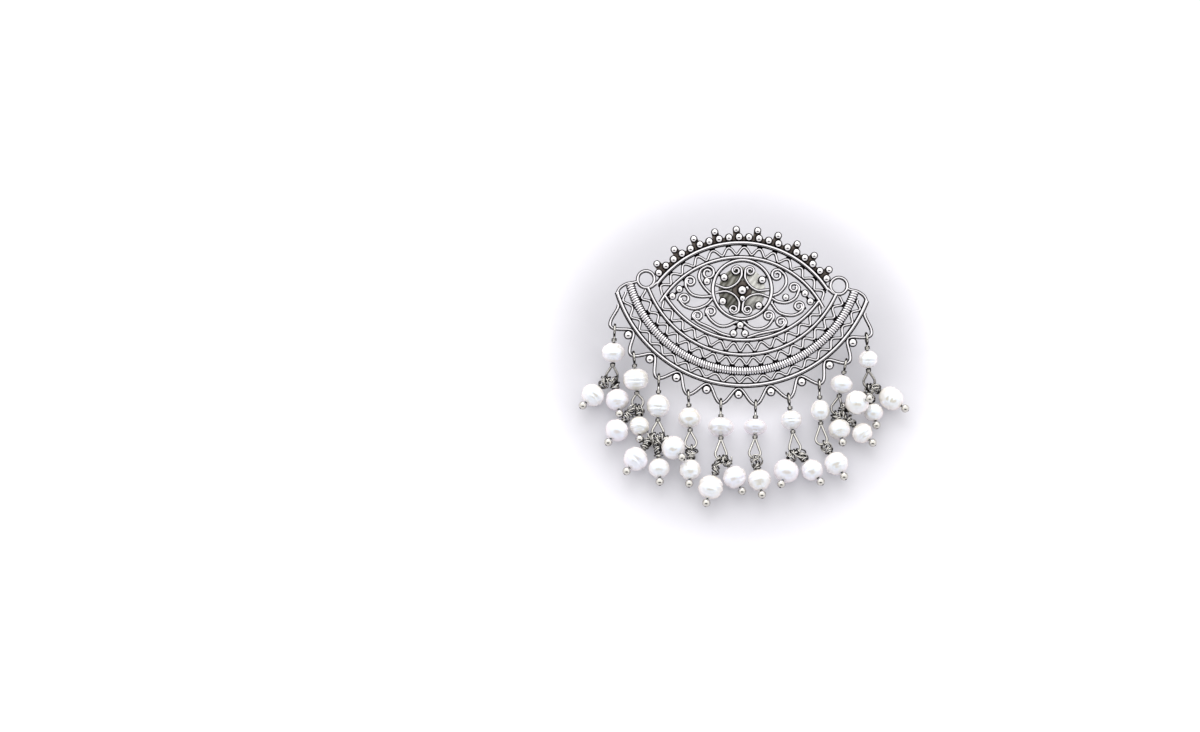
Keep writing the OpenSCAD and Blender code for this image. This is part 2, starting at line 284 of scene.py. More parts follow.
# %% Colours, nodes and silver
def colour(hex_code):
    """sRGB hex to the linear colour that a shader wants."""
    parts = [int(hex_code[i:i + 2], 16) / 255 for i in (1, 3, 5)]
    return [c / 12.92 if c <= 0.04045 else ((c + 0.055) / 1.055) ** 2.4 for c in parts] + [1.0]


def add(tree, kind, settings=None, inputs=None):
    """A node with its settings, and its inputs as values or as links from other nodes' outputs."""
    new = tree.nodes.new(kind)
    for key, value in (settings or {}).items():
        setattr(new, key, value)
    for key, value in (inputs or {}).items():
        if isinstance(value, bpy.types.NodeSocket):
            tree.links.new(value, new.inputs[key])
        else:
            new.inputs[key].default_value = value
    return new


def maths(tree, operation, *values):
    """The output of a math node over values or other nodes' outputs."""
    return add(tree, "ShaderNodeMath", {"operation": operation}, dict(enumerate(values))).outputs[0]


def eased_to(tree, value, low, high, first=0.0, last=1.0):
    """A value turned into one that goes softly from first to last between low and high."""
    ends = {"From Min": low, "From Max": high, "To Min": first, "To Max": last}
    return add(tree, "ShaderNodeMapRange", {"interpolation_type": "SMOOTHSTEP"},
               {"Value": value, **ends}).outputs[0]


def blend(tree, share, one, other):
    """One hex colour mixed with another by a share."""
    return add(tree, "ShaderNodeMix", {"data_type": "RGBA"},
               {0: share, 6: colour(one), 7: colour(other)}).outputs[2]


def dot(tree, vector, fixed):
    """How far a vector points along a fixed one."""
    return add(tree, "ShaderNodeVectorMath", {"operation": "DOT_PRODUCT"},
               {0: vector, 1: tuple(fixed)}).outputs["Value"]


def per(mm):
    """Pattern scale for a feature of this size, as coordinates are in metres."""
    return 1000 / mm


def empty_material(name):
    material = bpy.data.materials.new(name)
    material.use_nodes = True
    material.node_tree.nodes.clear()
    return material, material.node_tree


def silver(name, bright, black, low, high, smooth, dull, hollow_mm=0.35):
    """Buffed silver, sulphide in its crevices, painted light and shade in its bright share. It starts to
    show at low and is bare at high.
    """
    material, t = empty_material(name)
    place = add(t, "ShaderNodeTexCoord").outputs["Object"]
    # the bright share: the wheel's polish with painted highlights on tops and painted shade on flanks and
    # rims
    bright_share = add(t, "ShaderNodeAttribute", {"attribute_name": "buff_and_painted_light"}).outputs["Fac"]
    open_sky = add(t, "ShaderNodeAmbientOcclusion", {"samples": 6}, {"Distance": hollow_mm / 1000})
    blotch = add(t, "ShaderNodeTexNoise", None, {"Vector": place, "Scale": per(0.9), "Detail": 4.0})
    both = maths(t, "MULTIPLY", bright_share, open_sky.outputs["AO"])
    uneven = maths(t, "MULTIPLY_ADD", blotch.outputs["Fac"], 0.3, both)
    mask = eased_to(t, uneven, low, high)
    rough = add(t, "ShaderNodeMapRange", None, {"Value": mask, "To Min": dull, "To Max": smooth})
    fine = add(t, "ShaderNodeTexNoise", None, {"Vector": place, "Scale": per(0.22), "Detail": 3.0})
    bump = add(t, "ShaderNodeBump", None,
               {"Strength": 0.35, "Distance": 0.00001, "Height": fine.outputs["Fac"]})
    shader = add(t, "ShaderNodeBsdfPrincipled", None,
                 {"Base Color": blend(t, mask, black, bright), "Metallic": 1.0,
                  "Roughness": rough.outputs[0], "Normal": bump.outputs[0]})
    add(t, "ShaderNodeOutputMaterial", None, {"Surface": shader.outputs[0]})
    return material


plate_silver = silver("sterling_silver_oxidised_buffed_painted_light", "#e9e6e9", "#120e11", 0.36, 0.80, 0.14, 0.5)
grain_silver = silver("fused_silver_grains_buffed_painted_light", "#e9e6e7", "#1a1417", 0.66, 0.98, 0.08, 0.45)
strip_silver = silver("sawn_silver_strip_oxidised", "#807872", "#4c4440", 0.3, 1.1, 0.34, 0.5)
wire_silver = silver("drawn_silver_wire_tarnished_painted_light", "#cfccc6", "#26221f", 0.5, 0.95, 0.18, 0.45, 0.25)
print("silvers:", [m.name for m in bpy.data.materials])

# %% [markdown]
# ## The frame of the fan
# The silversmith bends the strong wires first: two upper arcs, the two lower arcs of the eye shape, the
# outer rim, and the ring of the rosette. The upper arc ends in a curl on each side, and the rim is closed by
# a short wire that bends over to the rope. All turn about a few centres, as they would on a mandrel.

# %% Frame wires
# the middles of the arcs, and the radii that start from them
UPPER, LOWER = (0, -10.15), (0, 6.55)
LENS_TOP, LENS_LOW = (0, -10.75), (0, 7.5)
UPPER_R, BAND_R, RIM_R = 18.6, 18.05, 23.55
LENS_TOP_R, LENS_LOW_R = 16.6, 16.4
ROSETTE, ROSETTE_R = (0, 0.1), 5.25
END_RING, END_RING_R = (17.2, 1.35), 1.5
STRONG = bar(0.96, 0.0, 1.20)
LIGHT = bar(0.82, 0.0, 1.15)


def sweep(a, step=0.6):
    """Angles from -a to a."""
    return np.linspace(-a, a, int(2 * a / step) + 1)


def mirrored(path):
    return np.asarray(path) * [-1, 1]


run_in = through([arc(UPPER, UPPER_R, 51, True), (15.3, 0.75), (16.2, 0.02)])
end_ring = arc(END_RING, END_RING_R, np.linspace(-12, 330, 44))
end_curl = evenly(np.vstack([run_in, end_ring]), 0.2)
rim_end = through([(22.3, -1.3), (21.75, -0.3), (20.6, 0.45), (19.4, 0.7), (18.7, 0.95)])
frame_wires = [
    lay(arc(UPPER, UPPER_R, sweep(55), True), STRONG),
    lay(arc(LENS_TOP, LENS_TOP_R, sweep(61), True), LIGHT),
    lay(arc(LENS_LOW, LENS_LOW_R, sweep(57)), LIGHT),
    lay(arc(LOWER, BAND_R, sweep(68.3)), LIGHT),
    lay(arc(LOWER, RIM_R, sweep(71)), STRONG),
    lay(arc(ROSETTE, ROSETTE_R, np.linspace(0, 360, 121)[:-1]), bar(0.80, 0.0, 1.15), loop=True),
]
for turn in (np.asarray, mirrored):
    frame_wires.append(lay(turn(end_curl), bar(0.66, 0.05, 1.15)))
    frame_wires.append(lay(turn(rim_end), bar(0.6, 0.0, 1.1)))
fan_frame = piece("fan_frame", frame_wires, plate_silver, "silver")
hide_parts("filigree_plate")

# %% [markdown]
# ## Waves between the arcs
# The gaps are filled with one long thin wire each, pinched into waves over the jaws of round-nosed pliers
# and soldered where it touches. The tops come out broad and the bottoms narrow, and no two are quite alike.
# The path is a cosine between two arcs, pushed along itself to make the tops broad, with a seeded wobble.

# %% Wavy wires
hand = np.random.default_rng(12)
THIN = bar(0.56, 0.1, 0.98, 0.85)
WAVE_POINTS = 22
FILLET = 0.24


def wave(centre, r_in, r_out, span, count, broad, up=False):
    """A wavy wire from -span to span degrees between two radii, and the solder at its bends."""
    t = np.linspace(0, count, count * WAVE_POINTS + 1)
    whole = np.arange(count + 2)
    drift = np.interp(t, whole, hand.normal(0, 0.045, count + 2))
    height = np.interp(t, whole, hand.normal(0.97, 0.05, count + 2))
    phase = 2 * math.pi * (t + drift) + math.pi
    a = -span + 2 * span * (t + broad * np.sin(phase) / (2 * math.pi)) / count
    low, high = r_in(a), r_out(a)
    swing = np.cos(phase) * np.minimum(height, 1.03)
    r = (low + high) / 2 + (high - low) / 2 * swing
    parts = [lay(arc(centre, r, a, up), THIN)]
    for i in range(1, len(t) - 1):
        if abs(swing[i]) > abs(swing[i - 1]) and abs(swing[i]) >= abs(swing[i + 1]):
            out = FILLET if swing[i] > 0 else -FILLET
            for aside in (-FILLET, FILLET):
                u, v = arc(centre, r[i] + out, a[i] + math.degrees(aside / r[i]), up)
                parts.append(solder(u, v))
    return parts


def solder(u, v):
    """A fillet of solder in a corner, black all over: oxide on it, and painted shade in the corner."""
    # all black: oxidised solder, and painted shade where the wires meet
    return ball(on_plate([u, v, 0.5]), 0.3 * hand.uniform(0.7, 1.15), FACE, 6, 8, 1.5, (2, 3))


def steady(r):
    return lambda a: np.full_like(a, r)


def eased(r, less):
    """A radius that gives way by less in the middle of the fan, where two arcs drift apart."""
    return lambda a: r - less * np.cos(np.radians(a))


waves = []
waves += wave(UPPER, eased(17.1, 0.6), steady(17.8), 58.5, 13, 0.15, up=True)
waves += wave(LOWER, eased(16.98, 0.95), steady(17.45), 58, 13, -0.15)
waves += wave(LOWER, steady(18.65), steady(19.8), 68, 18, -0.15)
waves += wave(LOWER, steady(22.0), steady(23.05), 70, 19, -0.15)
piece("fan_waves", waves, plate_silver, "silver")

# %% [markdown]
# ## The wound rope
# Between the lower bands runs a rope: a core with a fine wire wound round it, turn against turn. A real
# winding here would take a very long helix. The skin of a torus does the same if its radius rises and falls
# once a turn and the ridges advance by one pitch a turn, so they slant as a winding does. One bright band
# runs along the top, a painted reflection of the tent on the polish. Lower down only the crests are bright,
# and black ticks stay between them, partly sulphide in the grooves and partly painted shade.

# %% Wound rope
PITCH, ROPE_R, GROOVE = 0.44, 0.86, 0.2
ROPE_AT, ROPE_N, ROPE_SPAN = 20.95, 0.75, 73
RINGS_A_TURN = 8
a = np.linspace(-ROPE_SPAN, ROPE_SPAN,
                int(2 * ROPE_SPAN / 360 * 2 * math.pi * ROPE_AT / PITCH * RINGS_A_TURN))
theta = np.linspace(0, 2 * math.pi, 24, endpoint=False)
turns = (np.radians(a)[:, None] * ROPE_AT) / PITCH + theta[None] / (2 * math.pi)
ridge = np.sqrt(np.clip(1 - (2 * (turns % 1) - 1) ** 2, 0, 1))
high_up = np.sin(theta)[None]
r = ROPE_R - GROOVE * (1 - ridge)
flat = arc(LOWER, ROPE_AT + r * np.cos(theta)[None], a[:, None])
rope_rings = np.concatenate([flat, (ROPE_N + r * high_up)[..., None]], -1)
# painted light: a bright band along the top and bright crests lower down; black between, sulphide and
# painted shade
rope_bright_share = np.clip((high_up - 0.05) / 0.25, 0, 1) * np.clip((ridge - 1.64 + 1.15 * high_up) * 3.5, 0, 1)
piece("fan_rope", [skin(on_plate(rope_rings), rope_bright_share)], plate_silver, "silver")

# %% [markdown]
# ## Scrolls and the rosette
# Inside the eye shape the wire is free: each piece starts on the rosette's ring, swings out and winds up in
# a curl. Left and right were bent by hand, so they have a table each and aren't mirror images. The rosette
# holds four petals whose ends curl outwards. Black fillets of solder sit where a scroll starts and where its
# curl touches the next wire, black with oxide and as painted shade in those corners.

# %% Scrolls
# columns: the points of the run, the middle and radius of the curl, its turns and how much it tightens
right_scrolls = [
    ([(5.2, -0.9), (6.7, -0.2), (7.75, 1.3), (7.6, 2.8), (6.6, 3.8)], (6.1, 2.9), 1.02, 1.25, 0.6),
    ([(5.2, -1.2), (6.5, -1.85), (8.1, -1.9), (9.5, -1.1), (10.1, 0.2)], (9.2, 0.75), 0.82, 1.2, 0.4),
    ([(5.3, -2.1), (6.7, -3.75), (9.0, -4.2), (10.6, -3.5), (11.05, -2.6)], (10.2, -2.55), 0.84, 1.15, 0.45),
    ([(0.5, -5.75), (1.8, -6.65), (3.3, -6.85), (4.8, -6.2), (5.7, -4.9)], (4.85, -4.4), 0.88, 1.2, 0.45),
    ([(1.2, -8.4), (3.3, -7.65), (5.7, -7.05), (7.3, -6.55), (8.0, -5.7)], (7.1, -5.45), 0.88, 1.2, 0.45),
]
left_scrolls = [
    ([(-5.3, -1.1), (-6.8, 0.3), (-7.75, 1.9), (-7.5, 3.3), (-6.5, 4.05)], (-6.2, 2.85), 1.2, 1.2, 0.6),
    ([(-5.3, -1.25), (-7.5, -1.4), (-9.0, -1.0), (-10.0, 0.2), (-10.15, 1.2)],
     (-9.3, 1.25), 0.85, 1.15, 0.35),
    ([(-5.2, -1.7), (-6.4, -2.9), (-8.3, -3.6), (-10.1, -3.2), (-11.1, -2.2)],
     (-10.25, -1.9), 0.86, 1.1, 0.35),
    ([(-0.9, -5.7), (-2.6, -6.5), (-4.1, -6.4), (-5.5, -5.4), (-6.3, -4.2)], (-5.45, -4.0), 0.84, 1.15, 0.4),
    ([(-1.2, -8.35), (-3.3, -7.9), (-5.5, -6.9), (-7.6, -6.0), (-8.65, -5.1)],
     (-7.8, -4.85), 0.84, 1.2, 0.4),
]
SCROLL, PETAL = bar(0.68, 0.08, 1.0), bar(0.58, 0.08, 1.0)
scrolls = [lay(curled(*row), SCROLL) for row in right_scrolls + left_scrolls]
for run, centre, r, *_ in right_scrolls + left_scrolls:
    outward = unit(centre)
    sideways = np.array([-outward[1], outward[0]])
    scrolls.append(solder(*(centre + (r + 0.3) * outward)))
    for aside in (-0.3, 0.3):
        scrolls.append(solder(*(np.array(run[0]) + 0.35 * outward + aside * sideways)))
petals = [
    ([(-4.75, 0.8), (-2.8, 0.3), (-1.1, 1.1), (-0.25, 2.5), (-0.2, 3.5)], (-1.2, 3.45), 0.84, 1.5, 0.62),
    ([(4.8, 0.25), (2.8, 0.05), (1.4, 0.8), (0.5, 2.1), (0.42, 3.4)], (1.3, 3.45), 0.84, 1.45, 0.6),
    ([(-4.7, -0.6), (-2.9, -0.3), (-1.4, -0.9), (-0.5, -2.1), (-0.5, -3.3)], (-1.4, -3.45), 0.84, 1.5, 0.62),
    ([(5.0, -1.15), (3.1, -0.6), (1.4, -1.0), (0.35, -2.1), (0.15, -3.4)], (1.05, -3.45), 0.84, 1.45, 0.6),
]
scrolls += [lay(curled(*row), PETAL) for row in petals]
# short black wires that carry the loose grains, their black a painted shade along the dark lines there; from
# and to
ties = [
    (4.7, 2.8, 3.1, 1.75), (-4.7, 2.8, -2.9, 1.95), (4.7, -3.1, 2.8, -2.45), (-4.6, -3.0, -3.1, -1.9),
    (8.0, -1.8, 7.7, -0.8), (-7.0, 0.4, -6.3, 1.5), (10.1, 0.3, 11.35, -0.35), (-10.1, 0.5, -11.35, -0.35),
    (11.0, -0.1, 12.35, -1.8), (-11.0, -0.1, -12.6, -1.8), (13.6, -1.2, 12.0, -1.7),
    (-13.6, -1.2, -12.1, -1.6),
    (0.0, -5.0, -0.2, -6.6), (-0.1, -5.9, 0.9, -8.0), (-0.2, -5.9, -1.5, -8.0), (1.3, -8.9, 0.7, -7.4),
    (-1.3, -8.9, -1.2, -7.4),
]
# no bright share at all, so each tie is black all over: painted shade
tie_shape, _ = bar(0.46, 0.1, 0.6)
TIE = (tie_shape, np.zeros(len(tie_shape)))
for x0, y0, x1, y1 in ties:
    scrolls.append(lay(np.linspace((x0, y0), (x1, y1), 4), TIE))
piece("fan_scrolls", scrolls, plate_silver, "silver")

# %% Plate under the middle grain
disc = [(0.02, 0.1), (1.6, 0.1), (1.75, 0.2), (1.75, 0.42), (1.66, 0.5), (0.02, 0.5)]
piece("fan_disc", [lathed(disc, 0.6)], strip_silver, "silver", crease=40)

# %% [markdown]
# ## The scalloped edge
# One thicker round wire goes up and down along the rim. It touches the rim at nine crests, a grain sits
# under each, and its ten tips carry the strands.

# %% Scalloped wire
LOBE, TIP_R, CREST_R = 13.2, 27.0, 24.1
SCALLOP_N, SCALLOP_R = 0.45, 0.33


def scallop_r(a):
    return (TIP_R + CREST_R) / 2 - (TIP_R - CREST_R) / 2 * np.cos(2 * math.pi * np.asarray(a) / LOBE)


a = sweep(66, 0.4)
edge = arc(LOWER, scallop_r(a), a)
round_bar = bar(2 * SCALLOP_R, SCALLOP_N - SCALLOP_R, SCALLOP_N + SCALLOP_R)
piece("fan_scallop", [lay(edge, round_bar)], plate_silver, "silver")

# %% [markdown]
# ## Grains
# Silver grains are made by melting snippets of wire on charcoal: surface tension pulls them round, and they
# settle a little flat. They are soldered in a double row along the top, on a black backing strip, singly
# under the scallops and among the scrolls. A skinned ball is enough, each with its own small error in
# roundness. Its upper part is bright, polish with a painted highlight, and its rim dark, a painted shade and
# dark reflection.

# %% Grains and their backing
grains = []


def grain(at, n, r):
    """A grain that settled a little flat, its middle at n above the plate's back."""
    # bright top and dark rim: polish with a painted highlight, and painted shade at the rim
    grains.append(ball(on_plate([*at, n]), r, FACE, squash=0.97))


ROW_R, TAB_ROW_R = 19.65, 21.0
row = -49.6 + 5.22 * np.arange(20)
for a in row:
    grain(arc(UPPER, ROW_R, a, True), 0.7, 0.75 * hand.uniform(0.95, 1))
tabs = -47 + 10.44 * np.arange(10)
tabs += 1.4 * np.cos(np.radians(1.9 * tabs))
for a in tabs:
    grain(arc(UPPER, TAB_ROW_R, a, True), 0.6, 0.7 * hand.uniform(0.94, 1))
for k in range(-4, 5):
    grain(arc(LOWER, CREST_R + 1.05, LOBE * k), 0.5, 0.86 * hand.uniform(0.95, 1))
# loose grains in the eye shape: u, v and radius
loose = [
    (3.5, 1.95, 0.77), (-3.3, 2.15, 0.77), (-3.4, -2.1, 0.77), (3.05, -2.65, 0.77), (-6.35, 1.35, 0.74),
    (7.8, -1.0, 0.67), (11.2, -0.2, 0.72), (-11.2, -0.2, 0.72), (12.2, -1.6, 0.72), (-12.4, -1.5, 0.7),
    (-0.15, -6.25, 0.74), (-1.3, -7.75, 0.74), (0.75, -7.7, 0.74), (0, 0, 0.92), (0.1, -1.45, 0.6),
    (0.85, 0.4, 0.37),
]
for u, v, r in loose:
    grain((u, v), 0.8, r)
piece("fan_grains", grains, grain_silver, "silver")

# the strip's outer edge follows the grains
a = sweep(51.5, 0.2)
outer = np.full_like(a, 19.75)
for r, places, wide in ((ROW_R, row, 0.74), (20.85, tabs, 0.66)):
    aside = np.radians(np.abs(a[:, None] - places[None]).min(1)) * r
    reach = r + np.sqrt(np.clip(wide**2 - aside**2, 0, 1))
    outer = np.where(aside < wide, np.maximum(outer, reach), outer)
profile = [(18.75, 0.03), (18.75, 0.47), (None, 0.47), (None, 0.03)]
rings = []
for radius, n in profile:
    flat = arc(UPPER, outer if radius is None else np.full_like(outer, radius), a, True)
    rings.append(np.concatenate([flat, np.full((len(a), 1), n)], -1))
strip = skin(on_plate(np.stack(rings, 1)), 0.6)
piece("fan_backing", [strip], strip_silver, "silver", crease=40)

# %% [markdown]
# ## The ear post
# A flat round pad behind the rosette carries a straight post with a notch near its end, where the butterfly
# clips. Pad and post are one lathed profile. The pad was filed flat, so straight marks run across it, and
# its left half is painted darker, a painted dark reflection in the metal. The petals show both halves.

# %% Ear post
def filed_silver(name):
    """Pickled silver with file marks across it, and a painted dark reflection over its left half."""
    material, t = empty_material(name)
    place = add(t, "ShaderNodeTexCoord").outputs["Object"]
    centre = [x / 1000 for x in on_plate([0, 0, 0])]
    own = add(t, "ShaderNodeVectorMath", {"operation": "SUBTRACT"}, {0: place, 1: centre})
    level = add(t, "ShaderNodeMapping", {"vector_type": "POINT"},
                {"Vector": own.outputs[0], "Rotation": (-TILT, 0, math.radians(38))})
    marks = add(t, "ShaderNodeTexWave", {"wave_type": "BANDS", "bands_direction": "X"},
                {"Vector": level.outputs[0], "Scale": per(2.6), "Distortion": 3.5, "Detail": 3.0})
    blotch = add(t, "ShaderNodeTexNoise", None, {"Vector": place, "Scale": per(1.6), "Detail": 4.0})
    right = add(t, "ShaderNodeSeparateXYZ", None, {"Vector": own.outputs[0]})
    ragged = maths(t, "MULTIPLY_ADD", blotch.outputs["Fac"], 0.003, right.outputs["X"])
    # painted reflection: the left half of the pad darker, the right half bright
    painted_reflection = eased_to(t, ragged, 0.0004, 0.0034, 0.35, 0.95)
    marks_and_painted_reflection = maths(t, "MULTIPLY_ADD", marks.outputs["Fac"], -0.3, painted_reflection)
    rough = add(t, "ShaderNodeMapRange", None,
                {"Value": blotch.outputs["Fac"], "To Min": 0.3, "To Max": 0.5})
    bump = add(t, "ShaderNodeBump", None,
               {"Strength": 0.5, "Distance": 0.00002, "Height": marks.outputs["Fac"]})
    shader = add(t, "ShaderNodeBsdfPrincipled", None,
                 {"Base Color": blend(t, marks_and_painted_reflection, "#565449", "#e9e8e2"), "Metallic": 1.0,
                  "Roughness": rough.outputs[0], "Normal": bump.outputs[0]})
    add(t, "ShaderNodeOutputMaterial", None, {"Surface": shader.outputs[0]})
    return material


# columns: radius, n
post_profile = [
    (0.02, -0.05), (3.95, -0.05), (4.12, -0.10), (4.19, -0.2), (4.19, -0.42), (4.12, -0.51), (3.95, -0.55),
    (0.95, -0.56), (0.62, -0.68), (0.46, -0.92), (0.4, -1.3), (0.4, -7.75), (0.33, -7.85), (0.33, -8.1),
    (0.4, -8.2), (0.4, -9.3), (0.34, -9.46), (0.22, -9.53), (0.02, -9.55),
]
pad_silver = filed_silver("silver_pad_filed_painted_reflection")
ear_post = piece("ear_post_turned", [lathed(post_profile)], pad_silver, "silver", crease=35)
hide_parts("ear_post")

# %% [markdown]
# ## Where the strands lie
# Each strand hangs from a tip of the scalloped wire and ends in a knot, where its pins hang. The table gives
# the knot as the eye sees it from above the plate, its height, and the place and size of the link's pearl.
# The second table gives each drop: its strand, its pearl's place, size, and the side to which it swings.

# %% Strand tables
# columns: knot u, knot v, knot height, pearl's place along the link, its width, its height
STRANDS = [
    (-22.7, -17.3, 1.6, 4.3, 4.3, 3.6), (-17.8, -21.9, 1.6, 4.2, 5.0, 4.0),
    (-14.2, -27.0, 1.6, 5.0, 4.2, 4.2), (-8.2, -28.7, 1.6, 4.3, 4.2, 3.7),
    (-2.9, -30.4, 2.7, 4.6, 4.7, 3.4), (3.1, -30.1, 2.1, 4.3, 4.2, 2.9),
    (10.4, -28.9, 1.6, 4.1, 3.9, 3.5), (15.0, -27.3, 1.6, 4.8, 3.5, 3.8),
    (17.4, -21.8, 1.6, 3.8, 4.1, 3.4), (23.5, -16.8, 1.6, 4.0, 3.6, 3.2),
]
# columns: strand, u, v, height of the pearl, its width, its height, side in degrees
DROPS = [
    (1, -21.6, -20.3, 2.2, 4.3, 3.9, 25), (1, -26.0, -19.6, 2.2, 4.4, 3.8, -45),
    (2, -17.5, -24.8, 1.9, 3.8, 3.4, 10), (2, -21.5, -25.7, 2.2, 4.3, 3.9, -45),
    (3, -18.0, -30.6, 2.3, 4.6, 4.2, -52), (3, -11.4, -28.4, 3.1, 4.4, 4.1, 51),
    (3, -13.8, -32.1, 2.0, 3.9, 3.5, 0), (4, -8.3, -32.2, 2.0, 4.0, 3.7, 5),
    (5, -4.6, -35.1, 2.3, 4.6, 4.3, -22), (5, -0.4, -33.2, 2.2, 4.4, 4.0, 38),
    (6, 4.0, -33.6, 2.2, 4.3, 3.8, 10), (7, 8.7, -31.8, 2.4, 4.6, 4.1, -26),
    (7, 13.3, -31.5, 2.1, 4.1, 3.8, 35), (8, 17.6, -30.2, 2.3, 4.5, 4.1, 35),
    (9, 21.0, -19.3, 4.6, 4.4, 4.2, 114), (9, 22.2, -24.7, 2.0, 4.0, 3.5, 56),
    (9, 18.1, -24.2, 2.1, 4.1, 3.6, 2), (10, 27.3, -18.4, 2.2, 4.3, 4.6, 40),
    (10, 24.2, -21.0, 1.8, 3.6, 3.2, -17),
]
EYE_R, LOWER_EYE_R, PIN_EYE_R, SLACK, BALL_R = 0.9, 1.0, 0.6, 0.08, 0.75
LINK_R, PIN_R, TANGLE_R = 0.23, 0.18, 0.14
PAST_EYE = 0.3


def strand_frame(k):
    """Origin, down the link, sideways and the third way, with the distance to the knot."""
    side = -1 if k < 5.5 else 1
    tip = LOBE * (k - 5.5)
    a = tip - side * 1.65 * (abs(k - 5.5) - 0.5) / 4
    u, v = arc(LOWER, scallop_r(a), a)
    start = on_plate([u, v, SCALLOP_N])
    knot = seen_at(*STRANDS[k - 1][:3])
    down = unit(knot - start)
    sideways = unit([-down[1], down[0], 0])
    return start, down, sideways, np.cross(sideways, down), np.linalg.norm(knot - start)


def drop_frame(row):
    """Middle of the pin's eye, the way down the pin, its two other ways and the pearl's distance."""
    start, down, sideways, _, reach = strand_frame(row[0])
    s = math.radians(row[6])
    out = math.cos(s) * down + math.sin(s) * sideways
    over = math.cos(s) * sideways - math.sin(s) * down
    eye = start + (reach - PAST_EYE - LOWER_EYE_R) * down + (LOWER_EYE_R + 0.06) * out
    pearl = seen_at(*row[1:4])
    way = unit(pearl - eye)
    y = unit(over - (over @ way) * way)
    return eye, way, y, np.cross(y, way), np.linalg.norm(pearl - eye)


print("first strand, mm:", [np.round(x, 2).tolist() for x in strand_frame(1)[:2]])

# %% [markdown]
# ## Links and head pins
# A link is one length of drawn wire. Its upper end is bent round the scalloped wire and wound back on
# itself, it passes through the pearl, is wound again and opens into a long lower eye. A head pin is fed
# through its pearl from below, so its ball stops the pearl, and its top is bent to a small eye and wound.
# The windings are true helices here, as they are large enough to see. What was left of each pin's wire was
# slung round the eye and down the shank in an untidy knot. Its path turns round the eye while its plane
# swings and its loops shrink, and each pin has a seed of its own, so no two knots are alike.

# %% Bent and wound wire
def ring_path(centre, r, one, two, n=40):
    t = np.linspace(0, 2 * math.pi, n, endpoint=False)[:, None]
    return centre + r * (np.cos(t) * one + np.sin(t) * two)


def winding(start, way, one, two, length, r, wire_r):
    """A wire wound round a straight one, from start along way."""
    t = np.linspace(0, 1, 44)[:, None]
    a = 2 * math.pi * 2.8 * t
    path = start + way * (wire_r + t * (length - 2 * wire_r)) + r * (np.cos(a) * one + np.sin(a) * two)
    return tube(path, wire_r, 7)


def tangle(eye, way, y, x, far, own):
    """The loose end of a pin, slung round its own eye and wound down its shank."""
    turns = 3.0 + 1.3 * far
    t = np.linspace(0, 1, int(turns * 15))[:, None]
    a = 2 * math.pi * turns * t
    phi = own.uniform(0, 6) + 0.8 * turns * t + 0.5 * np.sin(2.3 * a / turns)
    lean = np.radians(78 - 66 * t**0.8 + 14 * np.sin(5 * t + own.uniform(0, 6)))
    r = (1.05 - 0.5 * t**0.8) * (1 + 0.25 * np.sin(0.61 * a + own.uniform(0, 6)))
    out = np.cos(phi) * y + np.sin(phi) * x
    aside = np.cos(phi) * x - np.sin(phi) * y
    middle = eye + way * (0.2 + t * (far - 0.5))
    around = np.cos(lean) * aside + np.sin(lean) * way
    return tube(middle + r * (np.cos(a) * out + np.sin(a) * around), TANGLE_R, 8, least=0.45)


def link(k):
    """Upper eye, shank, two windings and lower eye of one link."""
    start, down, side, third, reach = strand_frame(k)
    at, _, high = STRANDS[k - 1][3:]
    above, below = at - high / 2 - SLACK, at + high / 2 + SLACK
    apex, eye = below + 0.4, reach - PAST_EYE - LOWER_EYE_R
    top = EYE_R - LINK_R - 0.3 - 0.2  # the scalloped wire's half width, and play
    lean = math.asin(LOWER_EYE_R / (eye - apex))
    turn = np.radians(np.linspace(-90 - math.degrees(lean) + 4, 90 + math.degrees(lean) - 4, 40))[:, None]
    bow = start + down * (eye + LOWER_EYE_R * np.cos(turn)) + side * LOWER_EYE_R * np.sin(turn)
    neck = (start + down * apex)[None]
    lower = evenly(np.vstack([neck, bow, neck]), 0.16)
    shank = start + down * np.linspace(top + EYE_R - 0.05, apex + 0.1, 6)[:, None]
    return [
        tube(ring_path(start + down * top, EYE_R, down, third), LINK_R, 10, loop=True),
        tube(shank, LINK_R - 0.02, 8),
        winding(start + down * (above - 0.7), down, side, third, 0.7, 0.36, 0.125),
        winding(start + down * below, down, side, third, 0.7, 0.36, 0.125),
        tube(lower, LINK_R, 10),
    ]


def head_pin(row):
    """Eye, shank, winding, loose end and ball of one pin."""
    eye, way, y, x, far = drop_frame(row)
    high = row[5]
    above, below = far - high / 2 - SLACK, far + high / 2 + SLACK
    shank = eye + way * np.linspace(PIN_EYE_R - 0.03, below + BALL_R, 6)[:, None]
    return [
        tube(ring_path(eye, PIN_EYE_R, way, x, 32), PIN_R, 9, loop=True),
        tube(shank, PIN_R - 0.02, 8),
        winding(eye + way * (above - 0.6), way, x, y, 0.6, 0.29, 0.105),
        tangle(eye, way, y, x, above, np.random.default_rng(int(1000 + 10 * abs(row[1])))),
        ball(eye + way * (below + BALL_R), BALL_R, -way, 18, 26, 0.985, (-0.99, -0.9), most=1.5),
    ]


for k in range(1, 11):
    wire = piece(f"link_wire_{k}_bent", link(k), wire_silver, "wire")
    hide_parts(f"link_wire_{k}")
    pins = [part for row in DROPS if row[0] == k for part in head_pin(row)]
    hanging = piece(f"head_pins_{k}_bent", pins, wire_silver, "wire")
    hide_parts(f"head_pins_{k}")

